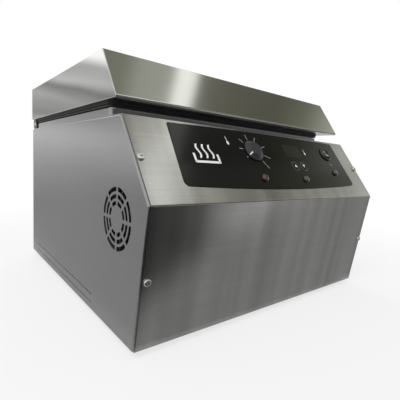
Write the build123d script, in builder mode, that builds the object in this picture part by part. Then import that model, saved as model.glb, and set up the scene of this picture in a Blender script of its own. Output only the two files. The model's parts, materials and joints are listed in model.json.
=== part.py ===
from build123d import *
from math import atan2, cos, degrees, radians, sin
import os

os.makedirs("parts", exist_ok=True)

# Heated laboratory bath with a hinged gable-fronted lid. Millimetres, +Z up, front towards -Y.
# The origin is at the bottom centre of the whole object, on the surface that the feet stand on.

# ---- driving dimensions: cabinet ----
body_width = 420.0
body_depth = 444.0          # nose of the side panels to their rear edge
body_height = 232.0
nose_height = 148.0         # where the front face changes slope
slope_run = 62.0            # how far the control slope leans back
undercut_run = 21.0         # how far the lower front tucks under
sheet = 1.2
bend_inner = 2.0
edge_round = 1.6
panel_flange = 14.0
seam = 2.5                  # front, top and rear sheets stop this far inside the side faces
foot_height = 8.0
foot_radius = 10.0

# ---- driving dimensions: lid ----
lid_width = 421.0
lid_front_bottom = 71.0     # behind the nose
lid_front_top = 110.0
lid_rear = 447.6
lid_bottom = body_height + 17.7
lid_top = body_height + 73.2
lid_end_round = 0.9

# ---- driving dimensions: well and rim ----
rim_half_width = 201.6
rim_front = 107.5
rim_rear = 440.0
rim_height = 11.2
well_half_width = 165.0
well_front = 125.0
well_rear = 415.0
well_depth = 150.0
well_corner = 30.0
insulation_half_width = 192.0
insulation_front = 112.0
insulation_rear = 430.0
insulation_bottom = body_height + sheet + rim_height - well_depth - 32.4
gasket_width = 8.0
gasket_proud = 2.0

# ---- driving dimensions: hinges ----
hinge_back = 461.0
hinge_up = body_height + 11.6
barrel_radius = 11.0
pin_radius = 4.0
hinge_half_span = 176.0     # middle of each hinge from the centre plane
knuckle_length = 18.0
leaf_thick = 2.5

# ---- controls, across and up the control slope from the nose ----
knob_x, knob_s = -37.2, 71.1
knob_radius = 15.3
knob_height = 5.9
lamp_places = {"limit_lamp": (-39.3, 30.3), "heating_lamp": (46.6, 29.6), "power_lamp": (132.9, 42.0)}
lamp_radius = 5.0
key_places = {"up_key": (38.1, 51.2), "down_key": (57.5, 51.2)}
key_radius = 6.3
key_travel = 0.6
window_x, window_s = 48.0, 77.5
window_width, window_height = 38.0, 22.0
rocker_x, rocker_s = 134.2, 77.4
bezel_radius = 12.2
overlay_left_top, overlay_left_bottom = -158.0, -163.0
overlay_right_top, overlay_right_bottom = 168.0, 170.5
overlay_bottom, overlay_top = 20.0, 100.3
overlay_bow_bottom, overlay_bow_top = 5.2, 2.2
overlay_thick = 0.8

# ---- fan and vents, behind the nose and above the cabinet bottom ----
fan_back, fan_up = 64.7, 125.5
grille_radius = 33.6
fan_size, fan_depth = 70.0, 15.0
vent_radius = 1.2
vent_pitch = 5.5
vent_rows = (10.0, 20.8)
vent_first, vent_count = 132.5, 51

# ---- fasteners and clearances ----
screw_radius = 2.0
screw_head_radius = 4.0
screw_head_height = 2.4
screw_length = 8.0
screw_inset = 7.0           # screw centres inside the side faces
front_screw_up = 52.2
front_screw_low = 75.0
run_clear = 0.05            # radial, turning and sliding fits
slip_clear = 0.2            # loose fits inside one body
body_gap = 0.3              # between bodies that move

# ---- derived values ----
slope_angle = atan2(slope_run, body_height - nose_height)
undercut_angle = atan2(undercut_run, nose_height)
half_turn = (slope_angle + undercut_angle) / 2
nose_bend = bend_inner / cos(half_turn) * cos((slope_angle - undercut_angle) / 2)
nose_reach = bend_inner + sheet - nose_bend
nose_y = (nose_reach - (hinge_back + barrel_radius)) / 2
base_z = foot_height
side_x = body_width / 2
cover_half = side_x - seam
deck_z = base_z + body_height
rim_z = deck_z + sheet + rim_height
well_top = rim_z
pan_top = base_z + 2 * sheet
slope_up = Vector(0, sin(slope_angle), cos(slope_angle))
slope_out = Vector(0, -cos(slope_angle), sin(slope_angle))
low_up = Vector(0, -sin(undercut_angle), cos(undercut_angle))
low_out = Vector(0, -cos(undercut_angle), -sin(undercut_angle))


def side_point(back, up):
    """A point of the side view: behind the nose and above the cabinet bottom."""
    return (nose_y + back, base_z + up)


def slope_plane(x, s, lift=0.0):
    """Plane on the outer face of the control slope, lifted along its outward normal."""
    nose = Vector(x, nose_y, base_z + nose_height)
    return Plane(nose + slope_up * s + slope_out * (sheet + lift), x_dir=(1, 0, 0), z_dir=slope_out)


def low_plane(x, s):
    """Plane on the outer face of the lower front, s up from its bottom edge."""
    foot = Vector(x, nose_y + undercut_run, base_z)
    return Plane(foot + low_up * s + low_out * sheet, x_dir=(1, 0, 0), z_dir=low_out)


def rear_plane(x, up, lift=0.0):
    """Plane on the outer face of the rear panel."""
    return Plane((x, nose_y + body_depth + sheet + lift, base_z + up), x_dir=(-1, 0, 0), z_dir=(0, 1, 0))


def flat_plane(x, back, z):
    """Level plane facing up."""
    return Plane((x, nose_y + back, z))


def keep(builder, name):
    """Label one finished piece and write it."""
    builder.part.label = name
    export_step(builder.part, "parts/" + name + ".step")


def block(x_low, x_high, back_low, back_high, z_low, z_high, mode=Mode.ADD):
    """Box between limits: across, behind the nose, and absolute height."""
    middle = flat_plane((x_low + x_high) / 2, (back_low + back_high) / 2, z_low)
    with BuildSketch(middle) as footprint:
        Rectangle(x_high - x_low, back_high - back_low)
    extrude(footprint.sketch, amount=z_high - z_low, mode=mode)


def body_profile(grow, mode=Mode.ADD):
    """Side outline of the cabinet with its bends, grown outward or inset."""
    with BuildSketch(Plane.XY, mode=Mode.PRIVATE) as outline:
        Polygon(
            side_point(undercut_run, 0),
            side_point(0, nose_height),
            side_point(slope_run, body_height),
            side_point(body_depth, body_height),
            side_point(body_depth, 0),
            align=None,
        )
        fillet(outline.vertices(), bend_inner)
        if grow:
            offset(amount=grow)
    add(outline.sketch, mode=mode)


def lid_profile(grow, mode=Mode.ADD):
    """Side outline of the lid, inset by a negative number."""
    with BuildSketch(Plane.XY, mode=Mode.PRIVATE) as outline:
        Polygon(
            side_point(lid_front_bottom, lid_bottom),
            side_point(lid_front_top, lid_top),
            side_point(lid_rear, lid_top),
            side_point(lid_rear, lid_bottom),
            align=None,
        )
        fillet(outline.vertices(), bend_inner)
        if grow:
            offset(amount=grow)
    add(outline.sketch, mode=mode)


def ring_slab(half_width, front, rear, corner, z_low, z_high, mode=Mode.ADD):
    """Level slab with rounded corners."""
    with BuildSketch(flat_plane(0, (front + rear) / 2, z_low)) as footprint:
        RectangleRounded(2 * half_width, rear - front, corner)
    extrude(footprint.sketch, amount=z_high - z_low, mode=mode)


# ---- screw places, each a plane on the face that the head seats on ----
front_screw_places = []
for side in (-1, 1):
    front_screw_places.append(slope_plane(side * (side_x - screw_inset), front_screw_up))
    front_screw_places.append(low_plane(side * (side_x - screw_inset), front_screw_low))
rear_screw_places = []
for side in (-1, 1):
    for up in (40, 112, 184):
        rear_screw_places.append(rear_plane(side * (side_x - screw_inset), up))
base_screw_places = []
for side in (-1, 1):
    for back in (70, 240, 380):
        spot = (side * (side_x - screw_inset), nose_y + back, base_z)
        base_screw_places.append(Plane(spot, x_dir=(1, 0, 0), z_dir=(0, 0, -1)))


def screw_holes(places, radius=screw_radius + run_clear, depth=6.0):
    """Clearance holes through the sheets behind each screw head."""
    for place in places:
        with BuildSketch(place.offset(1)) as mouth:
            Circle(radius)
        extrude(mouth.sketch, amount=-(depth + 1), mode=Mode.SUBTRACT)


def is_crown(edge, places, height):
    """True for the top rim of a screw head."""
    middle = edge.arc_center
    return any((middle - place.offset(height).origin).length < 0.01 for place in places)


def pan_screws(places, length=screw_length, radius=screw_radius, head=screw_head_radius):
    """Cross-recess pan head screws, one separate solid at each place."""
    height = screw_head_height * head / screw_head_radius
    with BuildPart() as screws:
        for place in places:
            with BuildSketch(place):
                Circle(head)
            extrude(amount=height)
        crowns = screws.edges().filter_by(GeomType.CIRCLE).filter_by(lambda edge: is_crown(edge, places, height))
        fillet(crowns, height * 0.62)
        for place in places:
            with BuildSketch(place):
                Circle(radius)
            extrude(amount=-length)
        for place in places:
            with BuildSketch(place.offset(height)):
                Rectangle(head * 1.1, head * 0.24)
                Rectangle(head * 0.24, head * 1.1)
            extrude(amount=-height * 0.55, mode=Mode.SUBTRACT)
    return screws


# ---- cabinet sheets ----
def side_panel(side):
    """Pan-shaped side with flanges turned inward all round."""
    with BuildPart() as hollow:
        with BuildSketch(Plane.YZ.offset(side * (side_x - sheet))):
            body_profile(-sheet)
        extrude(amount=-side * panel_flange)
        outer = hollow.faces().filter_by(Axis.X).sort_by(Axis.X)[-1 if side > 0 else 0]
        fillet(outer.edges(), edge_round - sheet / 2)
    with BuildPart() as panel:
        with BuildSketch(Plane.YZ.offset(side * side_x)):
            body_profile(0)
        extrude(amount=-side * panel_flange)
        outer = panel.faces().filter_by(Axis.X).sort_by(Axis.X)[-1 if side > 0 else 0]
        fillet(outer.edges(), edge_round)
        add(hollow.part, mode=Mode.SUBTRACT)
        screw_holes(front_screw_places)
        screw_holes(rear_screw_places)
        screw_holes(base_screw_places)
        vents = []
        for row in vent_rows:
            for index in range(vent_count):
                vents.append(side_point(vent_first + index * vent_pitch, row))
        with BuildSketch(Plane.YZ.offset(side * (side_x - 2 * sheet))):
            with Locations(*vents):
                Circle(vent_radius)
        extrude(amount=side * 3 * sheet, mode=Mode.SUBTRACT)
    return panel


def grille_ring(inner, outer):
    """One ring of eight slots, parted by bridges of even width."""
    bridge = 0.11 * grille_radius
    with BuildSketch(Plane.XY, mode=Mode.PRIVATE) as ring:
        Circle(outer * grille_radius)
        Circle(inner * grille_radius, mode=Mode.SUBTRACT)
        for turn in range(4):
            Rectangle(2.2 * grille_radius, bridge, rotation=45 * turn, mode=Mode.SUBTRACT)
        fillet(ring.vertices(), 0.9)
    return ring.sketch


grille_rings = [grille_ring(0.43, 0.555), grille_ring(0.64, 0.77), grille_ring(0.86, 1.0)]

left_side = side_panel(-1)
with BuildPart() as left_side_panel:
    add(left_side.part)
    with BuildSketch(Plane.YZ.offset(-side_x - sheet)):
        with Locations(side_point(fan_back, fan_up)):
            for ring in grille_rings:
                add(ring)
    extrude(amount=3 * sheet, mode=Mode.SUBTRACT)
keep(left_side_panel, "left_side_panel")
keep(side_panel(1), "right_side_panel")

top_return = 12.0
bottom_return = 8.0
bushing_hole = 5.2
rocker_hole = 10.4
lamp_stem = 3.6
lamp_hole = lamp_stem + slip_clear
key_hole = key_radius + body_gap


def control_cuts(depth):
    """Openings that the controls pass through, in the slope sheet and its overlay."""
    with BuildSketch(slope_plane(0, 0, overlay_thick + 1)) as openings:
        with Locations((knob_x, knob_s)):
            Circle(bushing_hole)
        with Locations((rocker_x, rocker_s)):
            Circle(rocker_hole)
        with Locations(*lamp_places.values()):
            Circle(lamp_hole)
        with Locations(*key_places.values()):
            Circle(key_hole)
        with Locations((window_x, window_s)):
            Rectangle(window_width, window_height)
    extrude(openings.sketch, amount=-depth, mode=Mode.SUBTRACT)


with BuildPart() as front_panel:
    with BuildSketch(Plane.YZ.offset(-cover_half)):
        body_profile(sheet)
        body_profile(0, mode=Mode.SUBTRACT)
        Polygon(
            side_point(slope_run + top_return, body_height + 5),
            side_point(body_depth + 5, body_height + 5),
            side_point(body_depth + 5, -5),
            side_point(undercut_run + bottom_return, -5),
            side_point(undercut_run + bottom_return, nose_height / 2),
            side_point(slope_run + top_return, nose_height / 2),
            align=None,
            mode=Mode.SUBTRACT,
        )
    extrude(amount=2 * cover_half)
    control_cuts(overlay_thick + 1 + 3 * sheet)
    screw_holes(front_screw_places)
keep(front_panel, "front_panel")
keep(pan_screws(front_screw_places), "front_screws")

# ---- rear panel with its power inlet and fuse ----
inlet_x, inlet_up = -150.0, 32.0
inlet_width, inlet_height = 27.4, 20.0
inlet_flange_width, inlet_flange_height = 50.0, 23.0
inlet_screw_spacing = 40.0
inlet_flange_thick = 3.0
inlet_body_depth = 24.0
inlet_cavity_depth = 17.0
inlet_pin_length = 11.5
fuse_x = -100.0
fuse_radius = 6.2
fuse_cap_radius = 8.0
inlet_screw_places = []
for side in (-1, 1):
    spot_x = inlet_x + side * inlet_screw_spacing / 2
    inlet_screw_places.append(rear_plane(spot_x, inlet_up, inlet_flange_thick))

leaf_width = 3 * knuckle_length
leaf_low, leaf_high = 200.0, 238.0
lid_leaf_low, lid_leaf_high = 257.0, 289.0
cabinet_leaf_screws = []
lid_leaf_screws = []
for side in (-1, 1):
    for step in (-1, 1):
        spot_x = side * hinge_half_span + step * knuckle_length
        cabinet_leaf_screws.append(rear_plane(spot_x, 214, leaf_thick))
        lid_spot = (spot_x, nose_y + lid_rear + leaf_thick, base_z + 275)
        lid_leaf_screws.append(Plane(lid_spot, x_dir=(-1, 0, 0), z_dir=(0, 1, 0)))

with BuildPart() as rear_panel:
    with BuildSketch(rear_plane(0, body_height / 2, -sheet)):
        Rectangle(2 * cover_half, body_height)
    extrude(amount=sheet)
    with BuildSketch(rear_plane(inlet_x, inlet_up, 1)):
        Rectangle(inlet_width + 2 * slip_clear, inlet_height + 2 * slip_clear)
    extrude(amount=-3 * sheet, mode=Mode.SUBTRACT)
    with BuildSketch(rear_plane(fuse_x, inlet_up, 1)):
        Circle(fuse_radius + slip_clear)
    extrude(amount=-3 * sheet, mode=Mode.SUBTRACT)
    with BuildSketch(rear_plane(0, 30, 1)):
        with GridLocations(11, 0, 16, 1):
            SlotOverall(26, 4, rotation=90)
    extrude(amount=-3 * sheet, mode=Mode.SUBTRACT)
    screw_holes(rear_screw_places)
    screw_holes(inlet_screw_places, depth=8)
    screw_holes(cabinet_leaf_screws)
keep(rear_panel, "rear_panel")
keep(pan_screws(rear_screw_places), "rear_screws")

with BuildPart() as power_inlet:
    with BuildSketch(rear_plane(inlet_x, inlet_up)):
        RectangleRounded(inlet_flange_width, inlet_flange_height, 4)
    extrude(amount=inlet_flange_thick)
    with BuildSketch(rear_plane(inlet_x, inlet_up)):
        Rectangle(inlet_width, inlet_height)
    extrude(amount=-inlet_body_depth)
    with BuildSketch(rear_plane(inlet_x, inlet_up, inlet_flange_thick)):
        Rectangle(24.4, 16.6)
    extrude(amount=-inlet_cavity_depth, mode=Mode.SUBTRACT)
    screw_holes(inlet_screw_places, depth=8)
keep(power_inlet, "power_inlet")

with BuildPart() as inlet_pins:
    with BuildSketch(rear_plane(inlet_x, inlet_up, inlet_flange_thick - inlet_cavity_depth)):
        with Locations((-7, -2), (7, -2), (0, 2)):
            Rectangle(2.0, 4.0)
    extrude(amount=inlet_pin_length)
keep(inlet_pins, "inlet_pins")

with BuildPart() as fuse_holder:
    with BuildSketch(rear_plane(fuse_x, inlet_up)):
        Circle(fuse_cap_radius)
    extrude(amount=5)
    fillet(fuse_holder.faces().sort_by(Axis.Y)[-1].edges(), 1)
    with BuildSketch(rear_plane(fuse_x, inlet_up)):
        Circle(fuse_radius)
    extrude(amount=-30)
    with BuildSketch(rear_plane(fuse_x, inlet_up, 5)):
        Rectangle(9, 1.4)
    extrude(amount=-1.6, mode=Mode.SUBTRACT)
keep(fuse_holder, "fuse_holder")

# ---- base, feet and deck ----
relay_x, relay_back = -10.0, 66.0
relay_bolt = 23.5
relay_base = 5.0
module_screw_radius = 1.7
relay_screw_places = []
for side in (-1, 1):
    relay_screw_places.append(flat_plane(relay_x + side * relay_bolt, relay_back, pan_top + relay_base))
foot_places = [(-175, 40), (175, 40), (14, 40), (-175, 404), (175, 404)]
rail_x = 120.0
rail_width = 24.0
rail_sheet = 1.5
rail_front, rail_rear = 130.0, 410.0
with BuildPart() as base_pan:
    pan_half = side_x - 2 * sheet
    block(-pan_half, pan_half, 32, body_depth - 2 * sheet, base_z + sheet, pan_top)
    block(-190, 190, 32, 32 + sheet, pan_top, pan_top + 14)
    block(-190, 190, body_depth - 3 * sheet, body_depth - 2 * sheet, pan_top, pan_top + 8)
    with BuildSketch(flat_plane(0, 270, base_z)):
        with GridLocations(18, 90, 9, 2):
            SlotOverall(56, 5, rotation=90)
    extrude(amount=3 * sheet, mode=Mode.SUBTRACT)
    with BuildSketch(flat_plane(0, 0, base_z)):
        with Locations(*foot_places):
            Circle(screw_radius + run_clear)
    extrude(amount=3 * sheet, mode=Mode.SUBTRACT)
    screw_holes(base_screw_places)
    screw_holes(relay_screw_places, radius=module_screw_radius + run_clear, depth=9)
keep(base_pan, "base_pan")
keep(pan_screws(base_screw_places, length=6), "base_screws")

with BuildPart() as feet:
    with BuildSketch(flat_plane(0, 0, 0)):
        with Locations(*foot_places):
            Circle(foot_radius - 1.5)
    extrude(amount=base_z + sheet, taper=-9)
    with BuildSketch(flat_plane(0, 0, 0)):
        with Locations(*foot_places):
            Circle(5)
    extrude(amount=4, mode=Mode.SUBTRACT)
    with BuildSketch(flat_plane(0, 0, 0)):
        with Locations(*foot_places):
            Circle(screw_radius + run_clear)
    extrude(amount=base_z + 2 * sheet, mode=Mode.SUBTRACT)
keep(feet, "feet")
foot_screw_places = []
for x, back in foot_places:
    foot_screw_places.append(Plane((x, nose_y + back, 4), x_dir=(1, 0, 0), z_dir=(0, 0, -1)))
keep(pan_screws(foot_screw_places, length=10), "foot_screws")

deck_opening = 8.0
with BuildPart() as top_deck:
    block(-cover_half, cover_half, slope_run + top_return + slip_clear, body_depth, deck_z, deck_z + sheet)
    ring_slab(
        well_half_width + deck_opening, well_front - deck_opening, well_rear + deck_opening,
        well_corner, deck_z - 1, deck_z + 2 * sheet, Mode.SUBTRACT,
    )
keep(top_deck, "top_deck")

with BuildPart() as rim_collar:
    ring_slab(rim_half_width, rim_front, rim_rear, 4, deck_z + sheet, rim_z - sheet)
    ring_slab(
        rim_half_width - sheet, rim_front + sheet, rim_rear - sheet,
        3, deck_z, rim_z - 2 * sheet, Mode.SUBTRACT,
    )
    ring_slab(
        well_half_width + sheet + slip_clear, well_front - sheet - slip_clear, well_rear + sheet + slip_clear,
        well_corner + sheet, deck_z, rim_z, Mode.SUBTRACT,
    )
keep(rim_collar, "rim_collar")

# ---- well with its heater, sensors and insulation ----
well_floor = well_top - well_depth
well_floor_round = 12.0
heater_thick = 2.5
with BuildPart() as well_space:
    ring_slab(well_half_width, well_front, well_rear, well_corner, well_floor, well_top + 5)
    fillet(well_space.faces().sort_by(Axis.Z)[0].edges(), well_floor_round)
with BuildPart() as well:
    ring_slab(
        well_half_width + sheet, well_front - sheet, well_rear + sheet,
        well_corner + sheet, well_floor - sheet, well_top - sheet / 2,
    )
    fillet(well.faces().sort_by(Axis.Z)[0].edges(), well_floor_round)
    ring_slab(rim_half_width - 2, rim_front + 2, rim_rear - 2, 6, well_top - sheet, well_top)
    add(well_space.part, mode=Mode.SUBTRACT)
keep(well, "well")

heater_low = well_floor - sheet - heater_thick
with BuildPart() as heater_mat:
    ring_slab(140, 140, 400, 10, heater_low, well_floor - sheet)
    with BuildSketch(flat_plane(0, 270, heater_low)):
        with Locations((-60, 0), (60, 0)):
            Circle(6)
    extrude(amount=heater_thick, mode=Mode.SUBTRACT)
keep(heater_mat, "heater_mat")

probe_radius = 2.5
probe_x = 148.0
probe_front, probe_rear = 114.0, 200.0
probe_z = well_floor - sheet - probe_radius - run_clear


def probe(side):
    """Sensor tube lying against the underside of the well floor."""
    with BuildPart() as tube:
        tip = (side * probe_x, nose_y + probe_front, probe_z)
        with BuildSketch(Plane(tip, x_dir=(1, 0, 0), z_dir=(0, 1, 0))):
            Circle(probe_radius)
        extrude(amount=probe_rear - probe_front)
        fillet(tube.faces().sort_by(Axis.Y)[-1].edges(), 1.2)
    return tube


keep(probe(-1), "limit_probe")
keep(probe(1), "temperature_probe")

with BuildPart() as well_insulation:
    block(
        -insulation_half_width, insulation_half_width, insulation_front, insulation_rear,
        base_z + insulation_bottom, deck_z,
    )
    ring_slab(
        well_half_width + sheet + slip_clear, well_front - sheet - slip_clear, well_rear + sheet + slip_clear,
        well_corner + sheet, heater_low, deck_z + 1, Mode.SUBTRACT,
    )
    for side in (-1, 1):
        x_low = side * probe_x - probe_radius - slip_clear
        x_high = side * probe_x + probe_radius + slip_clear
        slot_low = probe_z - probe_radius - slip_clear
        block(x_low, x_high, insulation_front - 1, probe_rear + 2, slot_low, heater_low + 4, Mode.SUBTRACT)
keep(well_insulation, "well_insulation")

with BuildPart() as support_rails:
    for side in (-1, 1):
        x_low = side * rail_x - rail_width / 2
        x_high = side * rail_x + rail_width / 2
        rail_top = base_z + insulation_bottom
        block(x_low, x_high, rail_front, rail_rear, pan_top, rail_top)
        block(
            x_low + rail_sheet, x_high - rail_sheet, rail_front - 1, rail_rear + 1,
            pan_top, rail_top - rail_sheet, Mode.SUBTRACT,
        )
keep(support_rails, "support_rails")

# ---- lid ----
lid_low_z = base_z + lid_bottom
gasket_half = rim_half_width + gasket_proud
gasket_front = rim_front - gasket_proud
gasket_rear = rim_rear + gasket_proud
liner_z = lid_low_z + sheet
field_rise = 6.0
with BuildPart() as lid_shell:
    with BuildSketch(Plane.YZ.offset(-lid_width / 2)):
        lid_profile(0)
    extrude(amount=lid_width)
    ends = lid_shell.faces().filter_by(Axis.X).sort_by(Axis.X)
    fillet(ends[0].edges() + ends[-1].edges(), lid_end_round)
    with BuildSketch(Plane.YZ.offset(-lid_width / 2 + sheet)):
        lid_profile(-sheet)
    extrude(amount=lid_width - 2 * sheet, mode=Mode.SUBTRACT)
    ring_slab(
        gasket_half + slip_clear, gasket_front - slip_clear, gasket_rear + slip_clear,
        6, lid_low_z - 1, liner_z + 0.01, Mode.SUBTRACT,
    )
    screw_holes(lid_leaf_screws)
keep(lid_shell, "lid_shell")

liner_half = lid_width / 2 - sheet - slip_clear
with BuildPart() as lid_liner:
    ring_slab(liner_half, lid_front_bottom + 6, lid_rear - sheet - bend_inner, 3, liner_z, liner_z + sheet)
    ring_slab(
        well_half_width, well_front, well_rear, well_corner, liner_z + sheet, liner_z + sheet + field_rise,
    )
    ring_slab(
        well_half_width - sheet, well_front + sheet, well_rear - sheet,
        well_corner - sheet, liner_z - 1, liner_z + field_rise, Mode.SUBTRACT,
    )
keep(lid_liner, "lid_liner")

with BuildPart() as lid_insulation:
    with BuildSketch(Plane.YZ.offset(-liner_half)):
        lid_profile(-sheet - slip_clear)
    extrude(amount=2 * liner_half)
    floor_z = liner_z + sheet + field_rise
    block(-lid_width, lid_width, 0, lid_rear, lid_low_z - 5, floor_z, Mode.SUBTRACT)
    block(-lid_width, lid_width, lid_rear - 9, lid_rear + 9, floor_z - 1, base_z + lid_top, Mode.SUBTRACT)
keep(lid_insulation, "lid_insulation")

gasket_low = well_top + body_gap
with BuildPart() as lid_gasket:
    ring_slab(gasket_half, gasket_front, gasket_rear, 6, liner_z - 3.4, liner_z)
    ring_slab(gasket_half - 3, gasket_front + 3, gasket_rear - 3, 4, gasket_low, liner_z)
    ring_slab(gasket_half - 0.6, gasket_front + 0.6, gasket_rear - 0.6, 6, gasket_low, gasket_low + 2.0)
    ring_slab(
        gasket_half - gasket_width, gasket_front + gasket_width, gasket_rear - gasket_width,
        3, gasket_low - 1, liner_z + 1, Mode.SUBTRACT,
    )
keep(lid_gasket, "lid_gasket")

# ---- hinges ----
def barrel(x_middle, length, radius, mode=Mode.ADD):
    """Cylinder on the hinge axis."""
    end = (x_middle - length / 2, nose_y + hinge_back, base_z + hinge_up)
    start = Plane(end, x_dir=(0, 1, 0), z_dir=(1, 0, 0))
    with BuildSketch(start) as disc:
        Circle(radius)
    extrude(disc.sketch, amount=length, mode=mode)


knuckle_gap = 0.4
with BuildPart() as hinge_base_leaves:
    for side in (-1, 1):
        middle = side * hinge_half_span
        for step in (-1, 1):
            knuckle_x = middle + step * knuckle_length
            barrel(knuckle_x, knuckle_length - knuckle_gap, barrel_radius)
            block(
                knuckle_x - (knuckle_length - knuckle_gap) / 2, knuckle_x + (knuckle_length - knuckle_gap) / 2,
                body_depth + sheet, hinge_back, base_z + leaf_high - 4, base_z + hinge_up,
            )
        block(
            middle - leaf_width / 2, middle + leaf_width / 2, body_depth + sheet, body_depth + sheet + leaf_thick,
            base_z + leaf_low, base_z + leaf_high,
        )
    for side in (-1, 1):
        barrel(side * hinge_half_span, leaf_width + 10, pin_radius, Mode.SUBTRACT)
    screw_holes(cabinet_leaf_screws, depth=4)
keep(hinge_base_leaves, "hinge_base_leaves")

with BuildPart() as hinge_lid_leaves:
    for side in (-1, 1):
        middle = side * hinge_half_span
        barrel(middle, knuckle_length - knuckle_gap, barrel_radius)
        block(
            middle - (knuckle_length - knuckle_gap) / 2, middle + (knuckle_length - knuckle_gap) / 2,
            lid_rear, hinge_back - 5, base_z + hinge_up + 3, base_z + lid_leaf_low + 4,
        )
        block(
            middle - leaf_width / 2, middle + leaf_width / 2, lid_rear, lid_rear + leaf_thick,
            base_z + lid_leaf_low, base_z + lid_leaf_high,
        )
    for side in (-1, 1):
        barrel(side * hinge_half_span, leaf_width, pin_radius + run_clear, Mode.SUBTRACT)
    screw_holes(lid_leaf_screws, depth=4)
keep(hinge_lid_leaves, "hinge_lid_leaves")

with BuildPart() as hinge_pins:
    for side in (-1, 1):
        barrel(side * hinge_half_span, leaf_width - knuckle_gap, pin_radius)
keep(hinge_pins, "hinge_pins")
keep(pan_screws(cabinet_leaf_screws, length=7, head=3.6), "hinge_base_screws")
keep(pan_screws(lid_leaf_screws, length=7, head=3.6), "hinge_lid_screws")

# ---- control overlay and window ----
with BuildPart() as control_overlay:
    with BuildSketch(slope_plane(0, 0)) as overlay_sketch:
        with BuildLine():
            middle_x = (overlay_left_top + overlay_right_top) / 2
            Line((overlay_left_bottom, overlay_bottom), (overlay_left_top, overlay_top))
            ThreePointArc(
                (overlay_left_top, overlay_top), (middle_x, overlay_top + overlay_bow_top),
                (overlay_right_top, overlay_top),
            )
            Line((overlay_right_top, overlay_top), (overlay_right_bottom, overlay_bottom))
            ThreePointArc(
                (overlay_right_bottom, overlay_bottom), (middle_x, overlay_bottom - overlay_bow_bottom),
                (overlay_left_bottom, overlay_bottom),
            )
        make_face()
        fillet(overlay_sketch.vertices().group_by(Axis.Y)[0], 7)
        fillet(overlay_sketch.vertices().group_by(Axis.Y)[-1], 1.5)
    extrude(amount=overlay_thick)
    control_cuts(overlay_thick + 3)
keep(control_overlay, "control_overlay")

with BuildPart() as display_window:
    with BuildSketch(slope_plane(window_x, window_s, -sheet)):
        RectangleRounded(window_width - 2 * slip_clear, window_height - 2 * slip_clear, 0.8)
    extrude(amount=sheet + overlay_thick)
keep(display_window, "display_window")

# ---- controller board behind the slope ----
board_lift = -12.4
board_thick = 1.6
board_x, board_s = 52.0, 58.0
board_width, board_height = 92.0, 72.0
post_spots = [(board_x + i * 40.0, board_s + j * 31.0) for i in (-1, 1) for j in (-1, 1)]
with BuildPart() as display_module:
    with BuildSketch(slope_plane(window_x, window_s, -sheet)):
        Rectangle(window_width + 2, window_height + 2)
    extrude(amount=board_lift + sheet)
keep(display_module, "display_module")

with BuildPart() as controller_board:
    with BuildSketch(slope_plane(board_x, board_s, board_lift)):
        RectangleRounded(board_width, board_height, 3)
    extrude(amount=-board_thick)
    with BuildSketch(slope_plane(0, 0, board_lift)):
        with Locations(*post_spots):
            Circle(1.3)
    extrude(amount=-board_thick, mode=Mode.SUBTRACT)
keep(controller_board, "controller_board")

with BuildPart() as board_posts:
    with BuildSketch(slope_plane(0, 0, -sheet)):
        with Locations(*post_spots):
            RegularPolygon(3, 6)
            Circle(1.3, mode=Mode.SUBTRACT)
    extrude(amount=board_lift + sheet)
keep(board_posts, "board_posts")

with BuildPart() as board_parts:
    with BuildSketch(slope_plane(board_x, board_s, board_lift - board_thick)):
        with Locations((-25, -15)):
            Rectangle(18, 15)
        with Locations((-2, 18)):
            Rectangle(30, 10)
        with Locations((28, -20)):
            Rectangle(15, 15)
        with Locations((24, 12), (-28, 16)):
            Circle(5)
    extrude(amount=-11)
keep(board_parts, "board_parts")

switch_height = 3.4
switch_bore = 1.8
with BuildPart() as key_switches:
    with BuildSketch(slope_plane(0, 0, board_lift)):
        with Locations(*key_places.values()):
            RectangleRounded(12, 12, 1)
            Circle(switch_bore, mode=Mode.SUBTRACT)
    extrude(amount=switch_height)
keep(key_switches, "key_switches")


def key(name):
    """Round key cap with a retaining rim and a stem that enters its switch."""
    x, s = key_places[name]
    rim_top = -sheet - body_gap
    with BuildPart() as cap:
        with BuildSketch(slope_plane(x, s, rim_top)):
            Circle(key_radius)
        extrude(amount=overlay_thick + key_travel + 0.1 - rim_top)
        fillet(cap.faces().filter_by(slope_plane(x, s)).sort_by(Axis.Z)[-1].edges(), 0.3)
        with BuildSketch(slope_plane(x, s, rim_top)):
            Circle(key_radius + 1.2)
        extrude(amount=-1)
        with BuildSketch(slope_plane(x, s, rim_top)):
            Circle(switch_bore - body_gap)
        extrude(amount=board_lift + switch_height - 0.4 - rim_top)
    return cap


for key_name in key_places:
    keep(key(key_name), key_name)

with BuildPart() as key_rings:
    with BuildSketch(slope_plane(0, 0, overlay_thick)):
        with Locations(*key_places.values()):
            Circle(key_hole + 0.6)
            Circle(key_hole, mode=Mode.SUBTRACT)
    extrude(amount=0.25)
keep(key_rings, "key_rings")

# ---- indicator lamps ----
def lamp(name):
    """Domed indicator lens with a stem through the panel."""
    x, s = lamp_places[name]
    with BuildPart() as lens:
        with BuildSketch(slope_plane(x, s, overlay_thick)):
            Circle(lamp_radius)
        extrude(amount=3.4)
        top = lens.faces().filter_by(slope_plane(x, s)).sort_by(Axis.Z)[-1]
        fillet(top.edges(), 2.9)
        with BuildSketch(slope_plane(x, s, overlay_thick)):
            Circle(lamp_stem)
        extrude(amount=-10)
    return lens


for lamp_name in lamp_places:
    keep(lamp(lamp_name), lamp_name)

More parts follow.
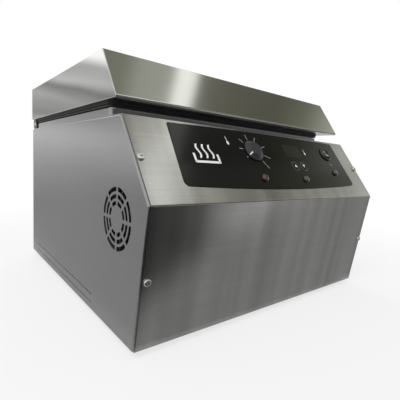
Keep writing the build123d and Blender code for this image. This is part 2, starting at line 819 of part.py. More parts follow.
# ---- temperature limit thermostat with its knob ----
bushing_radius = 4.9
shaft_radius = 3.0
bushing_top = 3.5
thermostat_depth = 28.0
shaft_top = 6.2
knob_lift = overlay_thick + body_gap
knob_skirt = 1.3
knob_shoulder = knob_radius - 0.7
knob_top_radius = 9.5
knob_roof = 3.9             # top of the space over the lock nut
pointer_depth = 0.7
with BuildPart() as limit_thermostat:
    with BuildSketch(slope_plane(knob_x, knob_s, -sheet)):
        RectangleRounded(34, 34, 3)
    extrude(amount=sheet - thermostat_depth)
    with BuildSketch(slope_plane(knob_x, knob_s, -sheet)):
        Circle(bushing_radius)
    extrude(amount=sheet + bushing_top)
    with BuildSketch(slope_plane(knob_x, knob_s, bushing_top)):
        Circle(shaft_radius + run_clear)
    extrude(amount=-bushing_top - 20.5, mode=Mode.SUBTRACT)
keep(limit_thermostat, "limit_thermostat")

with BuildPart() as lock_nuts:
    with BuildSketch(slope_plane(0, 0, -sheet)):
        with Locations(*lamp_places.values()):
            RegularPolygon(5.6, 6)
            Circle(lamp_stem + run_clear, mode=Mode.SUBTRACT)
    extrude(amount=-2.2)
    with BuildSketch(slope_plane(knob_x, knob_s, overlay_thick)):
        RegularPolygon(7.6, 6)
        Circle(bushing_radius + run_clear, mode=Mode.SUBTRACT)
    extrude(amount=2.4)
    with BuildSketch(rear_plane(fuse_x, inlet_up, -sheet)):
        RegularPolygon(9.5, 6)
        Circle(fuse_radius + run_clear, mode=Mode.SUBTRACT)
    extrude(amount=-4)
keep(lock_nuts, "lock_nuts")

with BuildPart() as thermostat_shaft:
    with BuildSketch(slope_plane(knob_x, knob_s, -20)):
        Circle(shaft_radius)
    extrude(amount=20 + shaft_top)
keep(thermostat_shaft, "thermostat_shaft")

pointer_angle = 212.0       # where the pointer stands at rest, anticlockwise from +X
flank_taper = degrees(atan2(knob_shoulder - knob_top_radius, knob_height - knob_skirt))


def knob_flank(drop=0.0, mode=Mode.ADD):
    """Sloping part of the knob above its skirt, moved down by a drop."""
    with BuildSketch(slope_plane(knob_x, knob_s, knob_lift + knob_skirt - drop)) as shoulder:
        Circle(knob_shoulder)
    extrude(shoulder.sketch, amount=knob_height - knob_skirt, taper=flank_taper, mode=mode)


with BuildPart() as knob_pointer:
    knob_flank()
    knob_flank(pointer_depth, Mode.SUBTRACT)
    pointer_dir = Vector(cos(radians(pointer_angle)), 0, 0) + slope_up * sin(radians(pointer_angle))
    with BuildSketch(Plane(slope_plane(knob_x, knob_s).origin, x_dir=pointer_dir, z_dir=slope_out)):
        with Locations((12.25, 0)):
            RectangleRounded(3.9, 1.6, 0.4)
    extrude(amount=knob_height + 4, mode=Mode.INTERSECT)
keep(knob_pointer, "knob_pointer")

with BuildPart() as limit_knob:
    with BuildSketch(slope_plane(knob_x, knob_s, knob_lift)):
        Circle(knob_radius)
    extrude(amount=knob_skirt)
    knob_flank()
    crown = limit_knob.faces().filter_by(slope_plane(0, 0)).sort_by(Axis.Z)[-1]
    fillet(crown.edges(), 2)
    with BuildSketch(slope_plane(knob_x, knob_s, knob_lift)):
        Circle(9)
    extrude(amount=knob_roof - knob_lift, mode=Mode.SUBTRACT)
    with BuildSketch(slope_plane(knob_x, knob_s, knob_lift)):
        Circle(shaft_radius)
    extrude(amount=shaft_top - knob_lift, mode=Mode.SUBTRACT)
    add(knob_pointer.part, mode=Mode.SUBTRACT)
keep(limit_knob, "limit_knob")

# ---- power rocker ----
cavity_radius = 9.3
housing_radius = rocker_hole - slip_clear
rocker_radius = 8.2
rocker_tilt = 8.0
trunnion_radius = 1.2
pivot_lift = -2.0
bezel_height = 2.2
with BuildPart() as rocker_housing:
    with BuildSketch(slope_plane(rocker_x, rocker_s, overlay_thick)):
        Circle(bezel_radius)
    extrude(amount=bezel_height)
    rim = rocker_housing.faces().filter_by(slope_plane(0, 0)).sort_by(Axis.Z)[-1]
    fillet(rim.edges(), 1.4)
    with BuildSketch(slope_plane(rocker_x, rocker_s, overlay_thick)):
        Circle(housing_radius)
    extrude(amount=-24)
    with BuildSketch(slope_plane(rocker_x, rocker_s, overlay_thick + bezel_height)):
        Circle(cavity_radius)
    extrude(amount=-bezel_height - 8.0, mode=Mode.SUBTRACT)
    pivot_plane = Plane(slope_plane(rocker_x, rocker_s, pivot_lift).origin, x_dir=slope_up, z_dir=(1, 0, 0))
    with BuildSketch(pivot_plane):
        Circle(trunnion_radius + run_clear)
    extrude(amount=housing_radius - 0.3, both=True, mode=Mode.SUBTRACT)
keep(rocker_housing, "rocker_housing")

rocker_lean = radians(rocker_tilt)
rocker_along = slope_up * cos(rocker_lean) - slope_out * sin(rocker_lean)
rocker_up = slope_out * cos(rocker_lean) + slope_up * sin(rocker_lean)
rocker_plane = Plane(pivot_plane.origin, x_dir=rocker_along, z_dir=(1, 0, 0))
rocker_face_rise = rocker_radius * sin(radians(rocker_tilt))
with BuildPart() as power_rocker:
    with BuildSketch(Plane(rocker_plane.origin - rocker_up * 8, x_dir=(1, 0, 0), z_dir=rocker_up)):
        Circle(rocker_radius)
    extrude(amount=16)
    with BuildSketch(rocker_plane):
        Polygon(
            (-rocker_radius, -3.4), (rocker_radius, -3.4), (rocker_radius, 4.2 + rocker_face_rise),
            (0, 4.2), (-rocker_radius, 4.2 + rocker_face_rise), align=None,
        )
    extrude(amount=rocker_radius, both=True, mode=Mode.INTERSECT)
    with BuildSketch(pivot_plane):
        Circle(trunnion_radius)
    extrude(amount=housing_radius - 0.6, both=True)
keep(power_rocker, "power_rocker")

# ---- cooling fan on the left side panel ----
fan_face = -side_x + sheet
frame_inner = fan_face + fan_depth


def fan_plane(x):
    """Plane across the fan axis, facing +X."""
    return Plane((x, nose_y + fan_back, base_z + fan_up), x_dir=(0, 1, 0), z_dir=(1, 0, 0))


fan_bolt = 30.75
duct_radius = 33.0
hub_radius = 14.0
blade_tip = 32.0
axle_radius = 1.5
with BuildPart() as fan_frame:
    with BuildSketch(fan_plane(fan_face)):
        RectangleRounded(fan_size, fan_size, 4)
        Circle(duct_radius, mode=Mode.SUBTRACT)
        with GridLocations(2 * fan_bolt, 2 * fan_bolt, 2, 2):
            Circle(screw_radius + slip_clear, mode=Mode.SUBTRACT)
    extrude(amount=fan_depth)
    with BuildSketch(fan_plane(frame_inner - 3)):
        Circle(hub_radius)
        for turn in range(4):
            with PolarLocations(duct_radius / 2 + 6, 1, start_angle=45 + 90 * turn):
                Rectangle(duct_radius, 3.4)
        Circle(axle_radius + run_clear, mode=Mode.SUBTRACT)
    extrude(amount=3)
keep(fan_frame, "fan_frame")

with BuildPart() as fan_rotor:
    with BuildSketch(fan_plane(fan_face + 1)):
        Circle(hub_radius)
    extrude(amount=fan_depth - 4 - body_gap)
    with BuildSketch(fan_plane(fan_face + 1)):
        with PolarLocations(hub_radius + 8.4, 7):
            Rectangle(19, 3.0, rotation=12)
    extrude(amount=fan_depth - 4 - body_gap)
    with BuildSketch(fan_plane(fan_face + 1)):
        Circle(blade_tip)
    extrude(amount=fan_depth - 4 - body_gap, mode=Mode.INTERSECT)
    with BuildSketch(fan_plane(frame_inner - 4)):
        Circle(axle_radius)
    extrude(amount=3.6)
keep(fan_rotor, "fan_rotor")

with BuildPart() as fan_studs:
    with BuildSketch(fan_plane(fan_face)):
        with GridLocations(2 * fan_bolt, 2 * fan_bolt, 2, 2):
            Circle(screw_radius)
    extrude(amount=fan_depth + 6)
    with BuildSketch(fan_plane(frame_inner)):
        with GridLocations(2 * fan_bolt, 2 * fan_bolt, 2, 2):
            RegularPolygon(3.9, 6)
    extrude(amount=3.2)
keep(fan_studs, "fan_studs")

# ---- power parts on the base ----
supply_x, supply_back = 110.0, 66.0
supply_width, supply_length = 90.0, 60.0
supply_lift = 8.0
supply_spots = [(supply_x + i * 39.0, supply_back + j * 24.0) for i in (-1, 1) for j in (-1, 1)]
with BuildPart() as supply_board:
    with BuildSketch(flat_plane(supply_x, supply_back, pan_top + supply_lift)):
        Rectangle(supply_width, supply_length)
    extrude(amount=1.6)
keep(supply_board, "supply_board")
with BuildPart() as supply_posts:
    with BuildSketch(flat_plane(0, 0, pan_top)):
        with Locations(*supply_spots):
            RegularPolygon(3, 6)
    extrude(amount=supply_lift)
keep(supply_posts, "supply_posts")
with BuildPart() as supply_transformer:
    with BuildSketch(flat_plane(supply_x - 14, supply_back, pan_top + supply_lift + 1.6)):
        Rectangle(42, 36)
    extrude(amount=30)
    with BuildSketch(flat_plane(supply_x - 14, supply_back, pan_top + supply_lift + 5.6)):
        Rectangle(30, 46)
    extrude(amount=22)
keep(supply_transformer, "supply_transformer")
with BuildPart() as supply_capacitors:
    with BuildSketch(flat_plane(supply_x + 28, supply_back, pan_top + supply_lift + 1.6)):
        with Locations((0, -14), (0, 14)):
            Circle(9)
    extrude(amount=25)
keep(supply_capacitors, "supply_capacitors")

with BuildPart() as heater_relay:
    with BuildSketch(flat_plane(relay_x, relay_back, pan_top)):
        Rectangle(58, 45)
        with Locations((-relay_bolt, 0), (relay_bolt, 0)):
            Circle(module_screw_radius + run_clear, mode=Mode.SUBTRACT)
    extrude(amount=relay_base)
    with BuildSketch(flat_plane(relay_x, relay_back, pan_top + relay_base)):
        Rectangle(38, 45)
    extrude(amount=18)
keep(heater_relay, "heater_relay")
module_screw_places = inlet_screw_places + relay_screw_places
keep(pan_screws(module_screw_places, length=6, radius=module_screw_radius, head=3.2), "module_screws")

terminal_x, terminal_back = -92.0, 62.0
with BuildPart() as terminal_block:
    with BuildSketch(flat_plane(terminal_x, terminal_back, pan_top)):
        Rectangle(54, 20)
    extrude(amount=14)
    with BuildSketch(flat_plane(terminal_x, terminal_back, pan_top + 14)):
        with GridLocations(9, 11, 5, 2):
            Circle(2.4)
    extrude(amount=-6, mode=Mode.SUBTRACT)
    with BuildSketch(flat_plane(terminal_x, terminal_back, pan_top + 14)):
        with GridLocations(9, 0, 6, 1):
            Rectangle(1.4, 20)
    extrude(amount=4)
keep(terminal_block, "terminal_block")
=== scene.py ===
# %% [markdown]
# # A heated laboratory bath
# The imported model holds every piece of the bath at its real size: folded steel cabinet, control panel,
# hinged lid, well and the parts inside. This script gives each piece its finish, adds the printed marks
# that are too thin to be worth modelling in CAD, and lights the whole for a plain product picture.

# %% Load the fixed frame
import json
import math

import bpy
from mathutils import Matrix, Vector


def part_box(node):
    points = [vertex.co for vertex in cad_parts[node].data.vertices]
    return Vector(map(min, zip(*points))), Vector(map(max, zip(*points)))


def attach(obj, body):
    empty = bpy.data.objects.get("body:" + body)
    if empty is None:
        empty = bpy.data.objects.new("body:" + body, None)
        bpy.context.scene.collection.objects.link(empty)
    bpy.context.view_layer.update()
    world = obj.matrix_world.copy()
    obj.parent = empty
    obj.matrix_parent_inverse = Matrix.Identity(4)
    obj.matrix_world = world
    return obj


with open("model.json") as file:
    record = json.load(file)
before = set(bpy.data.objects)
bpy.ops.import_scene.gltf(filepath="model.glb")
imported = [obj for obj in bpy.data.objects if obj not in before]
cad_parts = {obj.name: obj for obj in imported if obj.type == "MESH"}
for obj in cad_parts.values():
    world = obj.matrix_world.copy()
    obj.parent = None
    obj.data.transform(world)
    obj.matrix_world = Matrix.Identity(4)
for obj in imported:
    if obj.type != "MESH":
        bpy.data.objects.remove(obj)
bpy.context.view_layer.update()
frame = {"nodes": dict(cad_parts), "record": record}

MM = 0.001

# %% [markdown]
# ## Where things are
# Places come from the frame. The cabinet's side panel gives the nose, the bottom and the width. The limit
# knob turns about the normal of the control slope, so its joint gives the direction that the slope faces.

# %% Read the main places from the frame
side_low, side_high = (Vector(corner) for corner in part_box("right_side_panel"))
body_width = 2 * side_high.x
nose_y, body_bottom = side_low.y, side_low.z
joints = {joint["name"]: joint for joint in frame["record"]["behaviour"]["joints"]}
slope_out = -Vector(joints["knob_turn"]["axis"]).normalized()
slope_up = slope_out.cross(Vector((1, 0, 0))).normalized()
if slope_up.z < 0:
    slope_up = -slope_up
knob_centre = Vector(joints["knob_turn"]["pos_m"])
overlay_thickness = 0.8 * MM


def middle_of(node):
    """Centre of a node's box."""
    low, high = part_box(node)
    return (Vector(low) + Vector(high)) / 2


def slope_matrix(point, lift=0.0, turn=0.0):
    """Frame on the control slope: x across, y up the slope, z outwards, set on the overlay under a point."""
    height = (point - knob_centre).dot(slope_out)
    origin = point + slope_out * (overlay_thickness + lift - height)
    across = Vector((1, 0, 0))
    turned = Matrix((across, slope_up, slope_out)).transposed() @ Matrix.Rotation(turn, 3, "Z")
    return Matrix.Translation(origin) @ turned.to_4x4()


print("slope faces", tuple(round(v, 3) for v in slope_out))

# %% [markdown]
# ## The camera
# The bath is seen from its front left, from just below the rim, through a slightly wide lens. The place is
# given in body widths, so it stays right if the bath is made larger.

# %% Camera
camera_place = Vector((-0.8422, -0.5986, 0.4516)) * body_width + Vector((0, nose_y, body_bottom))
camera_yaw, camera_pitch, camera_roll = math.radians(38.70), math.radians(-6.687), math.radians(3.2125)
camera_lens = 29.69

forward = Vector((
    math.sin(camera_yaw) * math.cos(camera_pitch),
    math.cos(camera_yaw) * math.cos(camera_pitch),
    math.sin(camera_pitch),
))
right = Vector((math.cos(camera_yaw), -math.sin(camera_yaw), 0))
up = right.cross(forward)
rolled_right = math.cos(camera_roll) * right + math.sin(camera_roll) * up
rolled_up = math.cos(camera_roll) * up - math.sin(camera_roll) * right
bpy.ops.object.camera_add()
camera = bpy.context.object
camera.data.lens = camera_lens
camera.data.sensor_width = 36
camera.data.clip_start = 0.01
camera.matrix_world = Matrix.Translation(camera_place) @ Matrix((rolled_right, rolled_up, -forward)).transposed().to_4x4()
bpy.context.scene.camera = camera
bpy.context.scene.view_settings.view_transform = "Standard"
print("camera at", tuple(round(v, 3) for v in camera_place))

# %% [markdown]
# ## Shader arithmetic
# Steel, film and rubber need small patterns that vary over the surface. A wrapped socket lets the patterns be
# written as plain arithmetic, and one method adds every other kind of node.

# %% Shader helpers
class Number:
    """A shader value that takes part in Python arithmetic."""

    def __init__(self, finish, socket):
        self.finish, self.socket = finish, socket

    def _with(self, operation, first, second):
        made = self.finish.node("ShaderNodeMath", {"operation": operation}, {0: first, 1: second})
        return Number(self.finish, made.outputs[0])

    def __add__(self, other):
        return self._with("ADD", self, other)

    def __sub__(self, other):
        return self._with("SUBTRACT", self, other)

    def __rsub__(self, other):
        return self._with("SUBTRACT", other, self)

    def __mul__(self, other):
        return self._with("MULTIPLY", self, other)

    __radd__, __rmul__ = __add__, __mul__


class Finish:
    """One procedural material built round a Principled shader."""

    def __init__(self, name, color, metallic=0.0, roughness=0.5, **others):
        self.material = bpy.data.materials.new(name)
        self.material.use_nodes = True
        self.tree = self.material.node_tree
        self.shader = self.tree.nodes["Principled BSDF"]
        self.color = color
        self.set("Base Color", (*color, 1))
        self.set("Metallic", metallic)
        self.set("Roughness", roughness)
        for socket, value in others.items():
            self.set(socket.replace("_", " "), value)

    def put(self, socket, value):
        """Set or link one socket."""
        if isinstance(value, Number):
            self.tree.links.new(value.socket, socket)
        elif isinstance(value, bpy.types.NodeSocket):
            self.tree.links.new(value, socket)
        else:
            socket.default_value = value

    def set(self, name, value):
        self.put(self.shader.inputs[name], value)

    def node(self, kind, settings=None, values=None):
        """Add any node: its settings first, then its sockets."""
        made = self.tree.nodes.new(kind)
        for name, value in (settings or {}).items():
            if name == "stops":
                elements = made.color_ramp.elements
                while len(elements) < len(value):
                    elements.new(1.0)
                for element, (place, color) in zip(elements, value):
                    element.position, element.color = place, (*color, 1)
            else:
                setattr(made, name, value)
        for name, value in (values or {}).items():
            self.put(made.inputs[name], value)
        return made

    def noise(self, scale, detail=2.0, roughness=0.5, distortion=0.0):
        """Noise in the object's own metres, stretched by a scale along each axis."""
        place = self.node("ShaderNodeTexCoord").outputs["Object"]
        stretched = self.node("ShaderNodeMapping", None, {"Vector": place, "Scale": scale}).outputs[0]
        values = {"Vector": stretched, "Scale": 1.0, "Detail": detail, "Roughness": roughness, "Distortion": distortion}
        made = self.node("ShaderNodeTexNoise", None, values)
        return Number(self, made.outputs[0])

    def tint(self, amount, low, high):
        """Mix two colours by a number and feed Base Color."""
        mix = self.node("ShaderNodeMix", {"data_type": "RGBA"}, {0: amount, 6: (*low, 1), 7: (*high, 1)})
        self.set("Base Color", mix.outputs[2])

    def bump(self, height, strength, distance):
        made = self.node("ShaderNodeBump", None, {"Height": height, "Strength": strength, "Distance": distance})
        self.set("Normal", made.outputs[0])


def shade(color, factor):
    """A colour made lighter or darker."""
    return tuple(min(1.0, channel * factor) for channel in color)


def paint(finish, *names):
    """Give a finish to CAD nodes."""
    for name in names:
        node = frame["nodes"][name]
        node.data.materials.clear()
        node.data.materials.append(finish.material)


# %% [markdown]
# ## Brushed and polished stainless steel
# The sheets are ground with a belt, which leaves fine straight lines. Each line is far thinner than it is long,
# so the noise is squeezed across the grain and drawn out along it. The lines vary roughness and height a little.
# A second, much wider pattern gives the soft uneven bands of a rolled sheet. On the front sheet these bands run
# up and down, across the grain, and are partly painted reflection streaks.

# %% Steel finishes
def steel(name, color, roughness, grain, band, depth, contrast=0.12, spread=0.10, swing=1.0):
    """Ground stainless sheet: fine grain lines, soft wide bands and faint handling marks."""
    finish = Finish(name, color, metallic=1.0, roughness=roughness, Anisotropic=0.5)
    lines = finish.noise(grain, detail=3.0, roughness=0.65)
    coarse_lines = finish.noise(tuple(value * 0.22 for value in grain), detail=2.0)
    bands = (finish.noise(band, detail=2.0, roughness=0.45, distortion=0.2) - 0.5) * swing + 0.5
    smudges = finish.noise((14, 14, 14), detail=3.0)
    pattern = lines * 0.35 + coarse_lines * 0.25 + bands * 0.40
    finish.tint(pattern, shade(color, 1 - contrast * 2), shade(color, 1 + contrast * 2))
    finish.set("Roughness", roughness - spread / 2 + lines * spread * 0.5 + bands * spread * 0.3 + smudges * spread * 0.2)
    finish.bump(lines * 0.7 + coarse_lines * 0.3, depth, 0.0002)
    return finish


side_steel = steel("ground_side_sheet", (0.33, 0.33, 0.33), 0.30, (90, 6, 2200), (4, 3, 10), 0.16, swing=1.4)
# The front sheet's wide bands run up and down, across its grain: partly painted reflection streaks.
front_steel = steel("ground_front_sheet", (0.36, 0.36, 0.352), 0.22, (8, 1500, 1500), (36, 3, 1.6), 0.10, contrast=0.15, swing=3.0)
lid_steel = steel("polished_lid_sheet", (0.44, 0.445, 0.425), 0.11, (5, 2400, 2400), (9, 2, 2), 0.03, contrast=0.06, spread=0.06, swing=1.5)
well_steel = steel("drawn_well_sheet", (0.50, 0.50, 0.49), 0.26, (300, 300, 60), (12, 12, 12), 0.12)
pan_steel = steel("zinc_coated_sheet", (0.42, 0.43, 0.45), 0.38, (60, 900, 60), (50, 50, 50), 0.10)
paint(side_steel, "left_side_panel", "right_side_panel", "rear_panel", "top_deck", "rim_collar")
paint(front_steel, "front_panel")
paint(lid_steel, "lid_shell")
paint(well_steel, "well", "lid_liner")
paint(pan_steel, "base_pan", "support_rails")

# %% [markdown]
# ## Screws and hinges
# The pan heads are bright plated steel, turned on a lathe, so they are smooth with a faint bloom. The hinges
# are cast and dip painted in satin black, with a slight orange-peel skin.

# %% Fastener and hinge finishes
plated = Finish("bright_plated_screw", (0.62, 0.62, 0.61), metallic=1.0, roughness=0.22)
plated_bloom = plated.noise((700, 700, 700), detail=2.0)
plated.set("Roughness", 0.16 + plated_bloom * 0.16)
hinge_paint = Finish("satin_black_hinge", (0.030, 0.030, 0.032), metallic=0.2, roughness=0.42)
peel = hinge_paint.noise((900, 900, 900), detail=1.0)
hinge_paint.tint(peel, (0.022, 0.022, 0.024), (0.040, 0.040, 0.042))
hinge_paint.bump(peel, 0.15, 0.0002)
paint(plated, "front_screws", "rear_screws", "base_screws", "foot_screws", "module_screws")
paint(plated, "hinge_base_screws", "hinge_lid_screws", "hinge_pins", "fan_studs", "lock_nuts")
paint(plated, "limit_probe", "temperature_probe", "thermostat_shaft")
paint(hinge_paint, "hinge_base_leaves", "hinge_lid_leaves")

# %% [markdown]
# ## Plastics and rubber
# The overlay is a printed film under a clear gloss coat. Knob, switch and inlet are moulded with a fine matt
# spark texture. The lid gasket and the feet are rubber: nearly black and quite dull.

# %% Plastic and rubber finishes
def moulded(name, color, roughness, grain=1800, depth=0.12, **others):
    """Moulded plastic or rubber with a fine even texture."""
    finish = Finish(name, color, roughness=roughness, **others)
    texture = finish.noise((grain, grain, grain), detail=2.0)
    cloud = finish.noise((30, 30, 30), detail=2.0)
    finish.tint(texture * 0.5 + cloud * 0.5, shade(color, 0.8), shade(color, 1.2))
    finish.set("Roughness", roughness - 0.05 + cloud * 0.10)
    finish.bump(texture, depth, 0.0001)
    return finish


overlay_film = moulded("gloss_overlay_film", (0.004, 0.004, 0.0043), 0.14, depth=0.02, Specular_IOR_Level=0.2)
knob_plastic = moulded("knob_plastic", (0.016, 0.0165, 0.018), 0.36)
switch_plastic = moulded("switch_plastic", (0.010, 0.010, 0.011), 0.34)
part_plastic = moulded("component_plastic", (0.03, 0.03, 0.033), 0.50)
grey_plastic = moulded("grey_component_plastic", (0.28, 0.28, 0.28), 0.50)
gasket_rubber = moulded("gasket_rubber", (0.012, 0.012, 0.012), 0.55, grain=900)
foot_rubber = moulded("foot_rubber", (0.02, 0.02, 0.02), 0.7, grain=900)
paint(overlay_film, "control_overlay", "up_key", "down_key")
paint(knob_plastic, "limit_knob")
paint(switch_plastic, "rocker_housing", "power_rocker", "power_inlet", "fuse_holder")
paint(part_plastic, "display_module", "board_parts", "key_switches", "fan_frame", "fan_rotor", "supply_capacitors")
paint(grey_plastic, "limit_thermostat", "heater_relay", "terminal_block")
paint(gasket_rubber, "lid_gasket")
paint(foot_rubber, "feet")

# %% [markdown]
# ## Inks, lenses and the window
# White ink is slightly uneven under magnification. The lenses are tinted clear plastic that looks dark while
# the lamp is off, and the display window is smoked so that the digits show only when they are lit.

# %% Ink, lens and window finishes
white_ink = moulded("white_ink", (0.80, 0.80, 0.79), 0.45, depth=0.03)
dim_ink = moulded("grey_ink", (0.30, 0.30, 0.30), 0.45, depth=0.03)
ring_ink = moulded("grey_key_ring", (0.16, 0.16, 0.165), 0.40, depth=0.03)


def lens(name, color, deep):
    """Tinted lens: darker towards the middle, clear gloss outside."""
    finish = Finish(name, color, roughness=0.12, Coat_Weight=1.0, Coat_Roughness=0.03)
    facets = finish.node("ShaderNodeTexVoronoi", None, {"Scale": 1100.0}).outputs["Distance"]
    cells = Number(finish, facets)
    finish.tint(cells, deep, color)
    finish.bump(cells, 0.10, 0.0001)
    return finish


amber_lens = lens("amber_lens", (0.060, 0.010, 0.006), (0.010, 0.003, 0.002))
grey_lens = lens("grey_lens", (0.045, 0.044, 0.040), (0.012, 0.012, 0.011))
dark_lens = lens("dark_lens", (0.012, 0.016, 0.012), (0.003, 0.004, 0.003))
window_smoke = moulded("smoked_window", (0.012, 0.0125, 0.009), 0.12, depth=0.0, Specular_IOR_Level=0.3)
paint(white_ink, "knob_pointer")
paint(ring_ink, "key_rings")
paint(amber_lens, "limit_lamp")
paint(grey_lens, "heating_lamp")
paint(dark_lens, "power_lamp")
paint(window_smoke, "display_window")

# %% [markdown]
# ## Inside materials
# With the lid open, or from below, a viewer sees wool, foam, boards and brass only in part. Each still gets
# its own finish.

# %% Inside finishes
wool = moulded("mineral_wool", (0.55, 0.50, 0.34), 0.95, grain=260, depth=0.8)
foam = moulded("rigid_foam", (0.74, 0.70, 0.58), 0.90, grain=420, depth=0.4)
mat_silicone = moulded("red_silicone", (0.34, 0.07, 0.04), 0.60, grain=700, depth=0.3)
board_lacquer = moulded("green_board", (0.012, 0.11, 0.045), 0.35, grain=500, depth=0.05)
winding_tape = moulded("transformer_tape", (0.42, 0.30, 0.06), 0.45, grain=200)
brass = Finish("plain_brass", (0.62, 0.43, 0.17), metallic=1.0, roughness=0.3)
brass.set("Roughness", 0.22 + brass.noise((500, 500, 500)) * 0.16)
paint(wool, "well_insulation")
paint(foam, "lid_insulation")
paint(mat_silicone, "heater_mat")
paint(board_lacquer, "controller_board", "supply_board")
paint(winding_tape, "supply_transformer")
paint(brass, "board_posts", "supply_posts", "inlet_pins")

# %% [markdown]
# ## Printed marks
# Ink stands a few hundredths of a millimetre proud of the film. Each mark is a thin slab: a plane shaped in
# edit mode, extruded by the ink's thickness, and then set on the slope.

# %% Helpers for printed marks
INK = 0.06 * MM


def deselect():
    """Leave nothing selected, so that an operator acts only on what is made next."""
    bpy.ops.object.select_all(action="DESELECT")


def join(pieces, name):
    """Join pieces into one and name it."""
    deselect()
    for piece in pieces:
        piece.select_set(True)
    bpy.context.view_layer.objects.active = pieces[0]
    if len(pieces) > 1:
        bpy.ops.object.join()
    joined = bpy.context.object
    joined.name = name
    return joined


def settle(piece, matrix):
    """Place a piece and put the place into its mesh."""
    deselect()
    piece.select_set(True)
    bpy.context.view_layer.objects.active = piece
    piece.matrix_world = matrix @ piece.matrix_world
    bpy.ops.object.transform_apply(location=True, rotation=True, scale=True)


def dress(piece, finish, body):
    """Give a new piece its finish and its body."""
    piece.data.materials.clear()
    piece.data.materials.append(finish.material)
    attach(piece, body)


def raise_ink():
    """In edit mode, extrude the whole flat shape by the ink's thickness and turn its faces outwards."""
    bpy.ops.mesh.select_all(action="SELECT")
    bpy.ops.mesh.extrude_region_move(TRANSFORM_OT_translate={"value": (0, 0, INK)})
    bpy.ops.mesh.select_all(action="SELECT")
    bpy.ops.mesh.normals_make_consistent(inside=False)
    bpy.ops.object.mode_set(mode="OBJECT")


def bar(start, end, width, taper=1.0):
    """Flat ink bar between two points of the slope, in millimetres, narrowed at its end by a taper."""
    first, last = Vector((*start, 0)) * MM, Vector((*end, 0)) * MM
    deselect()
    bpy.ops.mesh.primitive_plane_add(size=1)
    piece = bpy.context.object
    length = (last - first).length
    half = width * MM / 2
    corners = [(-length / 2, -half), (length / 2, -half * taper), (-length / 2, half), (length / 2, half * taper)]
    for vertex, corner in zip(piece.data.vertices, corners):
        vertex.co = (*corner, 0)
    bpy.ops.object.mode_set(mode="EDIT")
    raise_ink()
    turn = math.atan2(last.y - first.y, last.x - first.x)
    settle(piece, Matrix.Translation((first + last) / 2) @ Matrix.Rotation(turn, 4, "Z"))
    return piece


def blob(centre, radius, stretch=1.0, sides=40):
    """Flat round ink spot, stretched up the slope."""
    deselect()
    bpy.ops.mesh.primitive_circle_add(vertices=sides, radius=radius * MM, fill_type="NGON")
    piece = bpy.context.object
    bpy.ops.object.mode_set(mode="EDIT")
    raise_ink()
    shape = Matrix.Diagonal((1, stretch, 1, 1))
    settle(piece, Matrix.Translation(Vector((*centre, 0)) * MM) @ shape)
    return piece


def hoop(centre, outer, inner, start=0.0, sweep=360.0, steps=64):
    """Flat ink ring or arc, spun from a short bar about its centre."""
    deselect()
    bpy.ops.mesh.primitive_plane_add(size=1)
    piece = bpy.context.object
    for vertex in piece.data.vertices:
        vertex.co.x = (outer if vertex.co.x > 0 else inner) * MM
        vertex.co.y = 0
    bpy.ops.object.mode_set(mode="EDIT")
    bpy.ops.mesh.select_all(action="SELECT")
    bpy.ops.mesh.remove_doubles(threshold=1e-6)
    bpy.ops.mesh.select_all(action="SELECT")
    bpy.ops.mesh.spin(steps=steps, angle=math.radians(sweep), center=(0, 0, 0), axis=(0, 0, 1))
    bpy.ops.mesh.select_all(action="SELECT")
    bpy.ops.mesh.remove_doubles(threshold=1e-6)
    raise_ink()
    settle(piece, Matrix.Translation(Vector((*centre, 0)) * MM) @ Matrix.Rotation(math.radians(start), 4, "Z"))
    return piece


def triangle(centre, width, height):
    """Flat ink triangle pointing up, or down if its height is negative."""
    deselect()
    bpy.ops.mesh.primitive_circle_add(vertices=3, radius=1, fill_type="NGON")
    piece = bpy.context.object
    corners = [(0, height / 2), (-width / 2, -height / 2), (width / 2, -height / 2)]
    for vertex, corner in zip(piece.data.vertices, corners):
        vertex.co = Vector((*corner, 0)) * MM
    bpy.ops.object.mode_set(mode="EDIT")
    raise_ink()
    settle(piece, Matrix.Translation(Vector((*centre, 0)) * MM))
    return piece


# %% [markdown]
# ## The dial
# Eight marks stand round the limit knob, from a dot at the minimum to a long line at the maximum, and each
# line is longer than the one before it. The knob turns through 270 degrees, so they are 270 / 7 degrees apart.

# %% Dial marks
dial_start, dial_sweep, dial_steps = 212.0, 270.0, 7
mark_inner, first_outer, last_outer = 17.2, 23.6, 30.5
dial = [blob((18.6 * math.cos(math.radians(dial_start)), 18.6 * math.sin(math.radians(dial_start))), 0.9)]
for step in range(1, dial_steps + 1):
    angle = math.radians(dial_start - dial_sweep * step / dial_steps)
    outer = first_outer + (last_outer - first_outer) * (step / dial_steps) ** 1.5
    direction = Vector((math.cos(angle), math.sin(angle)))
    dial.append(bar(direction * mark_inner, direction * outer, 0.85))
dial_marks = join(dial, "dial_marks")
settle(dial_marks, slope_matrix(knob_centre))
dress(dial_marks, dim_ink, "cabinet")
print("dial marks:", len(dial))

# %% [markdown]
# ## Pictograms
# A small thermometer stands beside the dial and another beside the display. Where a maker would print a name
# there is a generic sign for a heated bath: a trough with three rising waves.

# %% Thermometers and bath sign
def thermometer(name, place, size):
    """Bulb and stem in white ink."""
    bulb = blob((0, -size * 0.26), size * 0.15, 1.5)
    stem = bar((0, -size * 0.2), (0, size * 0.5), size * 0.10, 0.5)
    piece = join([bulb, stem], name)
    settle(piece, slope_matrix(place, turn=math.radians(4)))
    dress(piece, white_ink, "cabinet")


window_middle = middle_of("display_window")
across = Vector((1, 0, 0))
thermometer("display_thermometer", window_middle + across * 29 * MM, 10.5)
thermometer("dial_thermometer", knob_centre - across * 40.5 * MM + slope_up * 12.5 * MM, 12.5)


